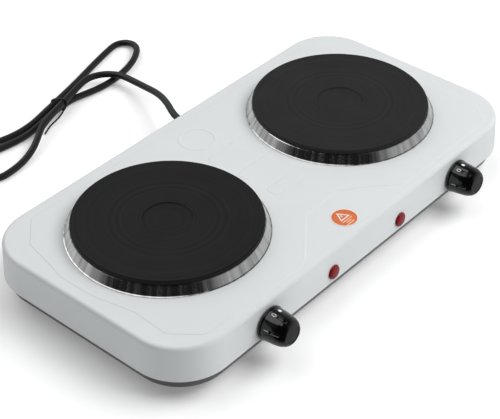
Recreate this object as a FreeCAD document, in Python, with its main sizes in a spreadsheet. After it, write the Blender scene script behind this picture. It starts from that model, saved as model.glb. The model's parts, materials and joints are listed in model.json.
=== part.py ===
"""Double cast-iron hot plate: a pressed-steel case on rubber feet, with two equal plates, two
thermostats with knobs, two pilot lamps, and a mains lead tied in a hank.

X runs along the case, the knobs are on the -Y side, Z is up and the feet stand on Z = 0.
Sub-parts are placed from the middle of the case, which stands case_shift behind the origin.
"""
import FreeCAD, Part
import math
import os

import Sketcher
from FreeCAD import Placement, Rotation, Vector

SIZES = {
    # case
    "case_shift": 11.74,
    "shell_length": 438.4,
    "shell_width": 222.7,
    "shell_corner": 45.4,
    "shell_height": 31.6,
    "shell_draft": 2.9,
    "shell_round": 4.0,
    "sheet_steel": 0.8,
    "foot_height": 10.0,
    "pan_drop": 11.0,
    "pan_inset": 4.6,
    "pan_rise": 2.0,
    "pan_round": 2.5,
    "panel_raise": 0.4,
    "panel_slope": 1.0,
    # plates
    "plate_radius": 77.5,
    "plate_spacing": 221.5,
    "plate_rearward": 5.2,
    "plate_stand": 12.4,
    "plate_depth": 14.0,
    "rim_depth": 3.5,
    "rim_overhang": 3.5,
    "well_radius": 19.5,
    "well_depth": 0.8,
    "opening_radius": 76.0,
    "ring_radius": 83.1,
    "ring_steel": 0.6,
    "channel_inner": 24.0,
    "channel_outer": 68.0,
    "channel_depth": 7.0,
    "coil_start": 28.0,
    "coil_pitch": 9.0,
    "coil_wire": 2.0,
    "coil_level": -10.6,
    "coil_bend": 5.0,
    "stud_radius": 3.0,
    # controls
    "knob_spacing": 247.4,
    "knob_drop": 21.2,
    "knob_radius": 14.6,
    "knob_length": 24.0,
    "knob_gap": 0.6,
    "shaft_radius": 3.0,
    "screw_spread": 8.2,
    "pilot_spacing": 88.6,
    "pilot_drop": 22.2,
    "lens_radius": 6.35,
    # mains lead
    "cord_diameter": 6.4,
    "cord_exit": 33.0,
    "cord_exit_height": 29.0,
    "relief_length": 8.0,
    "tie_radius": 0.8,
    "plug_radius": 18.4,
    "pin_radius": 2.4,
    "pin_spacing": 19.0,
    "wire_radius": 1.3,
    "lamp_wire_radius": 0.8,
    # label
    "sticker_radius": 11.2,
    "sticker_depth": 0.15,
}

# The lead's route, from the middle of the case, in millimetres: out of the case, through the tie,
# round the left-hand loop, back through the tie, round the right-hand loop, through the tie again
# and on to the plug.
CORD_ROUTE = [
    (33, 118.95, 29), (33.2, 128.4, 29.3), (36.7, 138.2, 28.8), (42.2, 147.4, 27.5), (47.8, 156.2, 26),
    (53.2, 165.6, 24.1), (58.4, 175.8, 21.7), (62.8, 186.8, 18.9), (66.6, 200, 15.6), (69.8, 214.8, 12.6),
    (71.2, 228.3, 11.4), (70.8, 240.5, 11.2), (65.6, 251.3, 11.2), (56.2, 258.8, 11.2), (44.5, 261.5, 11.3),
    (32, 258.6, 11.6), (18.5, 253.9, 11.7),
    (4, 249, 11.8), (-11, 244.7, 11.8), (-26, 239.6, 11.6), (-39.5, 234.6, 11.2), (-51, 227.2, 9.4),
    (-64, 220, 6.2), (-80, 214.6, 4), (-96.5, 212.3, 3.3), (-110.9, 212.1, 3.3), (-121.7, 220.8, 3.3),
    (-124.6, 234.4, 3.3), (-118.3, 246.8, 3.3), (-105.6, 252.4, 3.3), (-89, 248, 3.3), (-72, 244.6, 3.3),
    (-54, 243.2, 3.3), (-37, 245.4, 3.6), (-18, 249.6, 4.6), (1, 252.4, 5.2), (17, 253.5, 5),
    (32, 251.8, 4.2), (47, 249.6, 3.6), (62, 248.9, 3.6), (77, 250, 4.2), (91, 252.4, 5.2),
    (104.5, 257.2, 5.8), (116.5, 264.8, 5.7), (124.6, 272.4, 5), (128, 281.8, 4.2), (125.2, 290.4, 3.6),
    (116, 295.2, 3.3), (100, 291.2, 3.3), (82, 286.2, 3.3), (63, 280.4, 3.3), (44, 274.3, 3.4),
    (24, 268, 4.2), (5, 262, 5.2), (-14, 257.4, 4.8), (-34, 253, 3.6), (-53, 251.8, 3.3),
    (-72, 254.6, 3.3), (-88, 259.4, 5), (-103, 264.6, 10), (-118, 269.2, 15.2), (-133, 273, 18.1),
    (-149, 276.4, 18.45),
]
TIE_OUTLINE = [(249.4, 0.85), (265.5, 0.85), (265.6, 7.7), (249.6, 16), (245.4, 16), (243.3, 11.4)]
TIE_TAIL = [(1, 246.5, 6.1), (-6, 243.8, 4.4), (-14, 242, 2.6), (-22, 241.2, 1.6), (-29, 238.6, 1.2),
            (-36, 235, 1.2)]


class Size:
    """A number together with the sheet expression that gives it."""

    def __init__(self, value, text=None):
        self.value = float(value)
        self.text = text or f"({self.value:.6f})"

    def __add__(self, other):
        other = as_size(other)
        return Size(self.value + other.value, f"({self.text} + {other.text})")

    def __sub__(self, other):
        other = as_size(other)
        return Size(self.value - other.value, f"({self.text} - {other.text})")

    def __mul__(self, other):
        other = as_size(other)
        return Size(self.value * other.value, f"({self.text} * {other.text})")

    def __truediv__(self, other):
        other = as_size(other)
        return Size(self.value / other.value, f"({self.text} / {other.text})")

    def __neg__(self):
        return Size(-self.value, f"(0 - {self.text})")

    def __radd__(self, other):
        return as_size(other) + self

    def __rsub__(self, other):
        return as_size(other) - self

    def __rmul__(self, other):
        return as_size(other) * self


def as_size(value):
    return value if isinstance(value, Size) else Size(value)


def tangent(angle):
    return Size(math.tan(math.radians(angle.value)), f"tan({angle.text} * 1 deg)")


class Sheet:
    """The spreadsheet's cells, read as attributes."""

    def __init__(self, doc, name, sizes):
        cells = doc.addObject("Spreadsheet::Sheet", name)
        for row, (alias, value) in enumerate(sizes.items(), 1):
            cells.set(f"A{row}", alias)
            cells.set(f"B{row}", str(value))
            cells.setAlias(f"B{row}", alias)
            setattr(self, alias, Size(value, f"{name}.{alias}"))


doc = FreeCAD.newDocument("hot_plate")
d = Sheet(doc, "sizes", SIZES)
doc.recompute()
nodes = {}

PAN_FLOOR = d.foot_height
SHELL_EDGE = d.foot_height + d.pan_drop
SHELL_TOP = SHELL_EDGE + d.shell_height
PLATE_TOP = SHELL_TOP + d.plate_stand
SIDES = {"left": -1, "right": 1}
UPRIGHT = Rotation()
TO_FRONT = Rotation(Vector(1, 0, 0), 90 - d.shell_draft.value)
TO_REAR = Rotation(Vector(1, 0, 0), d.shell_draft.value - 90)


# ---------------------------------------------------------------- building blocks

def bind(item, **sizes):
    for name, value in sizes.items():
        item.setExpression(name, as_size(value).text)


def place(item, x=0, y=0, z=0, turn=UPRIGHT):
    """Put an item at a point given from the middle of the case."""
    spot = [as_size(x), as_size(y) + d.case_shift, as_size(z)]
    item.Placement = Placement(Vector(*[part.value for part in spot]), turn)
    for axis, part in zip("xyz", spot):
        item.setExpression(f"Placement.Base.{axis}", part.text)
    return item


def node(item, label):
    """Name an item as one of the sub-parts that are written out."""
    item.Label = label
    nodes[label] = item
    return item


def new_body(name):
    return doc.addObject("PartDesign::Body", name)


def sketch_on(body, name, role, height=0):
    sketch = body.newObject("Sketcher::SketchObject", name)
    plane = [feature for feature in body.Origin.OriginFeatures if feature.Role == role][0]
    sketch.AttachmentSupport = [(plane, "")]
    sketch.MapMode = "FlatFace"
    height = as_size(height)
    sketch.AttachmentOffset = Placement(Vector(0, 0, height.value), UPRIGHT)
    sketch.setExpression("AttachmentOffset.Base.z", height.text)
    return sketch


def fix(sketch, kind, value, *points):
    index = sketch.addConstraint(Sketcher.Constraint(kind, *points, value.value))
    sketch.setExpression(f"Constraints[{index}]", value.text)


def pin(sketch, geometry, vertex, x, y):
    """Hold a point at its two distances from the sketch's origin."""
    for kind, rule, value in (("DistanceX", -2, x), ("DistanceY", -1, y)):
        value = as_size(value)
        if value.value == 0:
            sketch.addConstraint(Sketcher.Constraint("PointOnObject", geometry, vertex, rule))
        else:
            fix(sketch, kind, value, -1, 1, geometry, vertex)


def draw_polygon(sketch, points):
    points = [(as_size(x), as_size(y)) for x, y in points]
    spots = [Vector(x.value, y.value, 0) for x, y in points]
    for start, end in zip(spots, spots[1:] + spots[:1]):
        sketch.addGeometry(Part.LineSegment(start, end), False)
    for index, (x, y) in enumerate(points):
        previous = (index - 1) % len(points)
        sketch.addConstraint(Sketcher.Constraint("Coincident", previous, 2, index, 1))
        pin(sketch, index, 1, x, y)


def draw_circles(sketch, circles):
    for index, (x, y, radius) in enumerate(circles):
        x, y, radius = as_size(x), as_size(y), as_size(radius)
        sketch.addGeometry(Part.Circle(Vector(x.value, y.value, 0), Vector(0, 0, 1), radius.value), False)
        pin(sketch, index, 3, x, y)
        fix(sketch, "Radius", radius, index)


def draw_rounded_rectangle(sketch, length, width, corner):
    """Four sides and four quarter arcs, centred on the sketch's origin."""
    length, width, corner = as_size(length), as_size(width), as_size(corner)
    signs = ((1, 1), (-1, 1), (-1, -1), (1, -1))
    ends = []
    for index, (sx, sy) in enumerate(signs):
        along = (sx * (length / 2 - corner), sy * width / 2)
        across = (sx * length / 2, sy * (width / 2 - corner))
        first, last = (across, along) if index % 2 == 0 else (along, across)
        ends.append((first, last))
        centre = Vector(sx * (length.value / 2 - corner.value), sy * (width.value / 2 - corner.value), 0)
        circle = Part.Circle(centre, Vector(0, 0, 1), corner.value)
        start = math.radians(90 * index)
        sketch.addGeometry(Part.ArcOfCircle(circle, start, start + math.pi / 2), False)
    for index in range(4):
        last, first = ends[index][1], ends[(index + 1) % 4][0]
        start, end = [Vector(x.value, y.value, 0) for x, y in (last, first)]
        sketch.addGeometry(Part.LineSegment(start, end), False)
        sketch.addConstraint(Sketcher.Constraint("Coincident", index, 2, 4 + index, 1))
        sketch.addConstraint(Sketcher.Constraint("Coincident", 4 + index, 2, (index + 1) % 4, 1))
        pin(sketch, 4 + index, 1, *last)
        pin(sketch, 4 + index, 2, *first)
        fix(sketch, "Radius", corner, index)


def pad(body, sketch, length, taper=None, backwards=False):
    feature = body.newObject("PartDesign::Pad", sketch.Name + "_pad")
    feature.Profile = sketch
    feature.Reversed = backwards
    bind(feature, Length=length)
    if taper is not None:
        bind(feature, TaperAngle=taper)
    return feature


def pocket(body, sketch, length, backwards=False):
    feature = body.newObject("PartDesign::Pocket", sketch.Name + "_cut")
    feature.Profile = sketch
    feature.Reversed = backwards
    bind(feature, Length=length)
    return feature


def round_edges(body, feature, name, height, radius):
    """Fillet the edges of a body that lie wholly at one height."""
    level = height.value
    rim = [f"Edge{index}" for index, edge in enumerate(feature.Shape.Edges, 1)
           if abs(edge.BoundBox.ZMin - level) < 0.01 and abs(edge.BoundBox.ZMax - level) < 0.01]
    fillet = body.newObject("PartDesign::Fillet", name)
    fillet.Base = (feature, rim)
    bind(fillet, Radius=radius)
    return fillet


def turned(name, points):
    """A body of revolution about its own Z, from a half profile of (radius, height) points."""
    body = new_body(name)
    sketch = sketch_on(body, name + "_profile", "XZ_Plane")
    draw_polygon(sketch, points)
    feature = body.newObject("PartDesign::Revolution", name + "_turn")
    feature.Profile = sketch
    feature.ReferenceAxis = (sketch, ["V_Axis"])
    feature.Angle = 360
    return body


def extruded(name, points, length, role="XY_Plane", height=0):
    """A body of one straight outline, padded along its plane's normal."""
    body = new_body(name)
    sketch = sketch_on(body, name + "_outline", role, height)
    draw_polygon(sketch, points)
    pad(body, sketch, length)
    return body


def cylinder(name, radius, length):
    item = doc.addObject("Part::Cylinder", name)
    bind(item, Radius=radius, Height=length)
    return item


def box(name, length, width, height, x=0, y=0, z=0):
    """A block centred on x and y, standing on z, in its own frame."""
    item = doc.addObject("Part::Box", name)
    bind(item, Length=length, Width=width, Height=height)
    corner = [as_size(x) - as_size(length) / 2, as_size(y) - as_size(width) / 2, as_size(z)]
    item.Placement.Base = Vector(*[part.value for part in corner])
    for axis, part in zip("xyz", corner):
        item.setExpression(f"Placement.Base.{axis}", part.text)
    return item


def post(name, radius, length, x=0, y=0, z=0):
    """An upright cylinder in its own frame."""
    item = cylinder(name, radius, length)
    spot = [as_size(x), as_size(y), as_size(z)]
    item.Placement.Base = Vector(*[part.value for part in spot])
    for axis, part in zip("xyz", spot):
        item.setExpression(f"Placement.Base.{axis}", part.text)
    return item


def fuse(name, items):
    item = doc.addObject("Part::MultiFuse", name)
    item.Shapes = items
    return item


def cut(name, base, tools):
    item = doc.addObject("Part::Cut", name)
    item.Base = base
    item.Tool = tools[0] if len(tools) == 1 else fuse(name + "_tools", tools)
    return item


def group(name, items):
    item = doc.addObject("Part::Compound", name)
    item.Links = items
    return item


def solid(name, shape):
    """A sub-part whose shape is made with Part's own functions, about the middle of the case."""
    item = doc.addObject("Part::Feature", name)
    item.Shape = shape
    return place(item)


def rounded_route(points, closed=False, largest=None):
    """A wire of straight runs joined by tangent arcs as large as the runs allow, and the arcs' radii."""
    points = [Vector(*point) for point in points]
    corners = list(zip(points[-1:] + points[:-1], points, points[1:] + points[:1]))
    corners = corners if closed else corners[1:-1]
    arcs, radii = [], []
    for before, corner, after in corners:
        arriving, leaving = corner - before, after - corner
        half_turn = arriving.getAngle(leaving) / 2
        reach = 0.45 * min(arriving.Length, leaving.Length)
        if largest:
            reach = min(reach, largest * math.tan(half_turn))
        radius = reach / math.tan(half_turn)
        arriving.normalize()
        leaving.normalize()
        inward = (leaving - arriving).normalize()
        middle = corner + inward * (radius / math.cos(half_turn) - radius)
        arcs.append((corner - arriving * reach, middle, corner + leaving * reach))
        radii.append(radius)
    ends = [arcs[-1][2]] if closed else [points[0]]
    edges = []
    for start, middle, end in arcs:
        edges += [Part.LineSegment(ends[-1], start).toShape(), Part.Arc(start, middle, end).toShape()]
        ends.append(end)
    if not closed:
        edges.append(Part.LineSegment(ends[-1], points[-1]).toShape())
    return Part.Wire(edges), radii


def tube(points, radius):
    """A round tube along a route; returns its shape, its length and its smallest bend radius."""
    wire, radii = rounded_route(points)
    first, second = Vector(*points[0]), Vector(*points[1])
    profile = Part.Wire(Part.makeCircle(radius, first, second - first))
    shape = wire.makePipeShell([profile], True, False)
    expected = math.pi * radius ** 2 * wire.Length
    if abs(shape.Volume / expected - 1) > 0.01:
        raise RuntimeError(f"tube volume {shape.Volume:.0f}, expected {expected:.0f}")
    return shape, wire.Length, radii


# ---------------------------------------------------------------- case

def wall_point(drop):
    """Distance of the drafted wall's outer face from the middle, this far below the top."""
    return d.shell_width / 2 - (d.shell_height - drop) * tangent(d.shell_draft)


def raised_panel(points, corner):
    """A low pressing with sloping sides, for the shell's top face."""
    upper, radii = rounded_route([(x, y, 0) for x, y in points], True, corner)
    lower = upper.makeOffset2D(d.panel_slope.value)
    upper.translate(Vector(0, 0, d.panel_raise.value))
    shape = Part.makeLoft([lower, upper], True, True)
    skirt = Part.Face(lower).extrude(Vector(0, 0, -d.panel_raise.value / 2))
    return shape.fuse(skirt).removeSplitter()


def build_top_shell():
    body = new_body("shell_pressing")
    outline = sketch_on(body, "shell_outline", "XY_Plane", SHELL_EDGE)
    draw_rounded_rectangle(outline, d.shell_length, d.shell_width, d.shell_corner)
    block = pad(body, outline, d.shell_height, -d.shell_draft)
    doc.recompute()
    if block.Shape.BoundBox.XLength > d.shell_length.value + 0.01:
        raise RuntimeError("the shell's draft points outwards")
    inner = sketch_on(body, "shell_inside", "XY_Plane", SHELL_EDGE)
    skin = d.sheet_steel
    draw_rounded_rectangle(inner, d.shell_length - 2 * skin, d.shell_width - 2 * skin, d.shell_corner - skin)
    hollow = pocket(body, inner, d.shell_height - skin, True)
    bind(hollow, TaperAngle=-d.shell_draft)
    doc.recompute()
    round_edges(body, hollow, "shell_inner_rounding", SHELL_TOP - skin, d.shell_round - skin)
    doc.recompute()
    round_edges(body, body.Tip, "shell_rounding", SHELL_TOP, d.shell_round)
    place(body)

    half = d.plate_spacing / 2
    outer = [(-70, -101.5), (-23, -65), (17, -65), (37, -79), (60, -100.5), (182, -100.5), (200, -79),
             (199, -44), (206, -30), (206, 28), (200, 51), (195, 74), (172, 98), (-172, 98), (-195, 74),
             (-200, 51), (-206, 28), (-206, -4), (-198, -44), (-200, -77), (-182, -99), (-152, -101.5)]
    panel = solid("panel_field", raised_panel(outer, 9))
    bars = [solid(f"panel_bar_{row}", raised_panel([(-20, y), (17, y), (17, y + 10), (-20, y + 10)], 3))
            for row, y in enumerate((34.5, 1.5, -31))]
    mark = turned("panel_ring", [(14.2, -0.2), (14.2, 0), (15.0, d.panel_raise), (16.2, d.panel_raise),
                                 (17.0, 0), (17.0, -0.2)])
    place(panel, z=SHELL_TOP)
    for item in bars:
        place(item, z=SHELL_TOP + d.panel_raise)
    place(mark, -4, 71.3, SHELL_TOP + d.panel_raise)
    whole = fuse("shell_embossed", [body, panel, mark] + bars)

    tools = []
    for side, sign in SIDES.items():
        opening = cylinder(f"{side}_opening", d.opening_radius, 12)
        tools.append(place(opening, sign * half, d.plate_rearward, SHELL_TOP - 8))
        bush = cylinder(f"{side}_shaft_hole", 5, 12)
        x = sign * d.knob_spacing / 2
        behind_wall = 5 - wall_point(d.knob_drop)
        level = SHELL_TOP - d.knob_drop
        tools.append(place(bush, x, behind_wall, level, TO_FRONT))
        for number, shift in enumerate((-1, 1)):
            hole = cylinder(f"{side}_screw_hole_{number}", 1.9, 12)
            tools.append(place(hole, x + shift * d.screw_spread, behind_wall, level, TO_FRONT))
        lamp = cylinder(f"{side}_lamp_hole", 5.4, 12)
        x = sign * d.pilot_spacing / 2
        behind_wall = 5 - wall_point(d.pilot_drop)
        tools.append(place(lamp, x, behind_wall, SHELL_TOP - d.pilot_drop, TO_FRONT))
    entry = cylinder("cord_hole", 6.2, 12)
    drop = SHELL_TOP - d.cord_exit_height
    tools.append(place(entry, d.cord_exit, wall_point(drop) - 5, d.cord_exit_height, TO_REAR))
    node(cut("shell", whole, tools), "top_shell")


def build_base_pan():
    body = new_body("base_pan_body")
    outline = sketch_on(body, "pan_outline", "XY_Plane", PAN_FLOOR)
    length, width = d.shell_length - 2 * d.pan_inset, d.shell_width - 2 * d.pan_inset
    draw_rounded_rectangle(outline, length, width, d.shell_corner - d.pan_inset)
    block = pad(body, outline, d.pan_drop + d.pan_rise)
    doc.recompute()
    rounding = round_edges(body, block, "pan_rounding", PAN_FLOOR, d.pan_round)
    doc.recompute()
    open_side = [f"Face{index}" for index, face in enumerate(rounding.Shape.Faces, 1)
                 if face.BoundBox.ZMin > (SHELL_EDGE + d.pan_rise).value - 0.01]
    hollow = body.newObject("PartDesign::Thickness", "pan_hollow")
    hollow.Base = (rounding, open_side)
    hollow.Reversed = True
    bind(hollow, Value=d.sheet_steel)
    doc.recompute()
    holes = sketch_on(body, "pan_holes", "XY_Plane", PAN_FLOOR + 2)
    spots = [(x, y, 2.2) for x, y in FOOT_SPOTS] + [(x, y, 2.2) for x, y, turn in BRACKET_SPOTS]
    draw_circles(holes, spots + [(EARTH_SPOT[0], EARTH_SPOT[1], 2.2)])
    pocket(body, holes, 4)
    for side, sign in SIDES.items():
        slots = sketch_on(body, f"{side}_vent", "XY_Plane", PAN_FLOOR + 2)
        x, y = sign * d.plate_spacing / 2 - 35, as_size(40)
        draw_polygon(slots, [(x - 2, y - 17), (x + 2, y - 17), (x + 2, y + 17), (x - 2, y + 17)])
        opening = pocket(body, slots, 4)
        row = body.newObject("PartDesign::LinearPattern", f"{side}_vent_row")
        row.Originals = [opening]
        row.Direction = (slots, ["H_Axis"])
        row.Length = 70
        row.Occurrences = 8
        body.Tip = row
        doc.recompute()
    place(body)
    node(body, "base_pan")


FOOT_X, FOOT_Y = 174.0, 68.0
FOOT_SPOTS = [(-FOOT_X, -FOOT_Y), (FOOT_X, -FOOT_Y), (-FOOT_X, FOOT_Y), (FOOT_X, FOOT_Y)]
FOOT_NAMES = ["front_left_foot", "front_right_foot", "rear_left_foot", "rear_right_foot"]
BRACKET_SPOTS = [(0, 91, 0), (0, -86, 180), (-206.6, 5, 90), (206.6, 5, -90)]
EARTH_SPOT = (62.0, 88.0)


def cross_screw(name, head_radius, head_height, shank_radius, length):
    """A pan-head screw with its head's underside at Z = 0, its shank going up, and a cross recess."""
    blank = turned(name + "_blank", [
        (0, -head_height), (head_radius * 0.6, -head_height), (head_radius, -head_height * 0.45),
        (head_radius, 0), (shank_radius, 0), (shank_radius, length - 1),
        (shank_radius * 0.6, length), (0, length)])
    arm = head_radius * 1.1
    recess = head_height * 0.6
    arms = [box(f"{name}_arm_{number}", long, wide, recess, 0, 0, -head_height)
            for number, (long, wide) in enumerate(((arm, head_radius * 0.28), (head_radius * 0.28, arm)))]
    return cut(name, blank, arms)


def build_feet():
    screws = []
    for number, ((x, y), label) in enumerate(zip(FOOT_SPOTS, FOOT_NAMES)):
        foot = turned(label + "_body", [
            (2.3, d.foot_height), (9.5, d.foot_height), (8.4, 1.2), (7.6, 0), (4.6, 0), (4.6, 5.0),
            (2.3, 5.0)])
        node(place(foot, x, y), label)
        screw = cross_screw(f"foot_screw_{number}", 3.9, 2.2, 1.9, 9.5)
        screws.append(place(screw, x, y, 5.0))
    node(group("foot_screw_set", screws), "foot_screws")


def build_brackets():
    """Steel straps welded under the shell's top, which take the screws that hold the pan."""
    brackets, screws = [], []
    strap = d.sheet_steel * 1.5
    low = PAN_FLOOR + d.sheet_steel
    high = SHELL_TOP - d.sheet_steel
    for number, (x, y, turn) in enumerate(BRACKET_SPOTS):
        profile = [(-6, low), (6, low), (6, high), (-6, high), (-6, high - strap), (6 - strap, high - strap),
                   (6 - strap, low + strap), (-6, low + strap)]
        blank = extruded(f"bracket_{number}_strap", profile, 16, "YZ_Plane", -8)
        hole = post(f"bracket_{number}_hole", 1.75, 6, 0, 0, low - 2)
        bracket = cut(f"bracket_{number}", blank, [hole])
        brackets.append(place(bracket, x, y, 0, Rotation(Vector(0, 0, 1), turn)))
        screw = cross_screw(f"base_screw_{number}", 3.5, 2.0, 1.7, 6)
        screws.append(place(screw, x, y, PAN_FLOOR))
    node(group("bracket_set", brackets), "fixing_brackets")
    node(group("base_screw_set", screws), "base_screws")


# ---------------------------------------------------------------- plates

def coil_route():
    """Half turns that step outwards from alternate centres, with both ends turned down as leads."""
    level, bend, step = d.coil_level.value, d.coil_bend.value, d.coil_pitch.value / 2
    near, low = bend * math.sqrt(0.5), level - bend * (1 - math.sqrt(0.5))
    radius, centre, side = d.coil_start.value, 0.0, 1
    start = Vector(radius, 0, level)
    tip, elbow = Vector(radius, -bend, COIL_LEAD), Vector(radius, -bend, level - bend)
    edges = [Part.LineSegment(tip, elbow).toShape(),
             Part.Arc(elbow, Vector(radius, -near, low), start).toShape()]
    for half_turn in range(8):
        end = Vector(centre - side * radius, 0, level)
        edges.append(Part.Arc(start, Vector(centre, side * radius, level), end).toShape())
        centre += side * step
        radius += step
        side = -side
        start = end
    elbow, tip = Vector(end.x, bend, level - bend), Vector(end.x, bend, COIL_LEAD)
    edges += [Part.Arc(end, Vector(end.x, near, low), elbow).toShape(),
              Part.LineSegment(elbow, tip).toShape()]
    return Part.Wire(edges), end.x


COIL_LEAD = -22.0
QUARTER = Rotation(Vector(0, 0, 1), 90)


def build_plate(side, sign):
    """One cast-iron plate with what hangs under it, all measured down from its top face."""
    def set_down(item, label, height=0, turn=UPRIGHT):
        place(item, sign * d.plate_spacing / 2, d.plate_rearward, PLATE_TOP + height, turn)
        node(item, f"{side}_{label}")

    body_radius = d.plate_radius - d.rim_overhang
    channel = d.channel_depth - d.plate_depth
    boss = d.stud_radius + 10
    plate = turned(f"{side}_casting", [
        (0, -d.well_depth), (d.well_radius, -d.well_depth), (d.well_radius + 0.8, 0),
        (d.plate_radius - 0.9, 0), (d.plate_radius, -0.9), (d.plate_radius, -d.rim_depth),
        (body_radius, -d.rim_depth),
        (body_radius, -d.plate_depth), (d.channel_outer, -d.plate_depth), (d.channel_outer, channel),
        (d.channel_inner, channel), (d.channel_inner, -d.plate_depth), (boss, -d.plate_depth),
        (boss, -d.plate_depth - 2), (d.stud_radius, -d.plate_depth - 2), (d.stud_radius, -8), (0, -8)])
    set_down(plate, "hotplate")

    foot = PLATE_TOP - SHELL_TOP - d.panel_raise
    under_rim = d.rim_depth + 0.05
    steel = d.ring_steel
    ring = turned(f"{side}_ring_pressing", [
        (d.ring_radius, -foot), (d.ring_radius, steel - foot), (d.ring_radius - 0.9, steel * 1.5 - foot),
        (d.plate_radius + 0.9, -under_rim - 0.5), (d.plate_radius + 0.4, -under_rim),
        (body_radius + 0.6, -under_rim), (body_radius + 0.6, -under_rim - steel),
        (d.plate_radius + 0.1, -under_rim - steel), (d.ring_radius - 1.5, steel - foot),
        (d.ring_radius - 1.7, -foot)])
    set_down(ring, "trim_ring")

    wire, outer_end = coil_route()
    profile = Part.Wire(Part.makeCircle(d.coil_wire.value, wire.Vertexes[0].Point, Vector(0, 0, 1)))
    coil = doc.addObject("Part::Feature", f"{side}_coil")
    coil.Shape = wire.makePipeShell([profile], True, False)
    set_down(coil, "heating_coil", 0, QUARTER)

    cement = turned(f"{side}_cement", [
        (d.channel_inner + 0.1, -d.plate_depth + 0.3), (d.channel_outer - 0.1, -d.plate_depth + 0.3),
        (d.channel_outer - 0.1, channel - 0.1), (d.channel_inner + 0.1, channel - 0.1)])
    imprint = doc.addObject("Part::Feature", f"{side}_coil_imprint")
    imprint.Shape = coil.Shape.copy()
    imprint.Placement = Placement(Vector(), QUARTER)
    set_down(cut(f"{side}_bed", cement, [imprint]), "insulation_bed")

    high = -d.plate_depth - 0.1
    low = high - d.sheet_steel
    cover = turned(f"{side}_dish", [
        (boss + 0.3, high), (body_radius - 1, high), (body_radius - 1, low), (boss + 0.3, low)])
    leads = [(d.coil_bend, d.coil_start), (-d.coil_bend, outer_end)]
    holes = [post(f"{side}_cover_hole_{number}", 3.2, 6, x, y, -d.plate_depth - 3)
             for number, (x, y) in enumerate(leads)]
    set_down(cut(f"{side}_cover", cover, holes), "cover_plate")

    top = -d.plate_depth - 1.2
    block = box(f"{side}_ceramic", 18, 46, 9, 0, (d.coil_start + outer_end) / 2, top - 9)
    bores = [post(f"{side}_ceramic_bore_{number}", 2.1, 12, x, y, top - 10)
             for number, (x, y) in enumerate(leads)]
    set_down(cut(f"{side}_ceramic_block", block, bores), "terminal_block")
    tabs = []
    for number, (x, y) in enumerate(leads):
        strip = box(f"{side}_tab_{number}", 7, 12, 0.8, x, y, top - 9.9)
        stem = post(f"{side}_tab_screw_{number}", 2.4, 1.8, x, as_size(y), top - 11.7)
        tabs.append(fuse(f"{side}_terminal_{number}", [strip, stem]))
    set_down(group(f"{side}_tab_set", tabs), "plate_terminals")

    press = SHELL_TOP - d.sheet_steel - PLATE_TOP - 0.02
    reach, shoulder, well = 89, 81, 75
    low = -d.plate_depth - 6
    bar = extruded(f"{side}_bar_strap", [
        (-reach, press), (-shoulder, press), (-well, low), (well, low), (shoulder, press), (reach, press),
        (reach, press - 2.5), (shoulder - 1, press - 2.5), (well - 1, low - 2.5), (1 - well, low - 2.5),
        (1 - shoulder, press - 2.5), (-reach, press - 2.5)], 20, "XZ_Plane", -10)
    hole = post(f"{side}_bar_hole", 3.3, 12, 0, 0, low - 6)
    set_down(cut(f"{side}_bar", bar, [hole]), "clamp_bar")

    stud = turned(f"{side}_stud_rod", [(0, -8.1), (2.4, -8.1), (2.9, -8.8), (2.9, -33.4), (2.3, -34), (0, -34)])
    set_down(stud, "center_stud")
    nut = extruded(f"{side}_nut_blank", [
        (5.77 * math.cos(math.radians(60 * k)), 5.77 * math.sin(math.radians(60 * k))) for k in range(6)], 5)
    bore = post(f"{side}_nut_bore", 2.95, 9, 0, 0, -2)
    fastener = cut(f"{side}_nut", nut, [bore])
    return place(fastener, sign * d.plate_spacing / 2, d.plate_rearward, PLATE_TOP + low - 7.6)


# ---------------------------------------------------------------- controls

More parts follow.
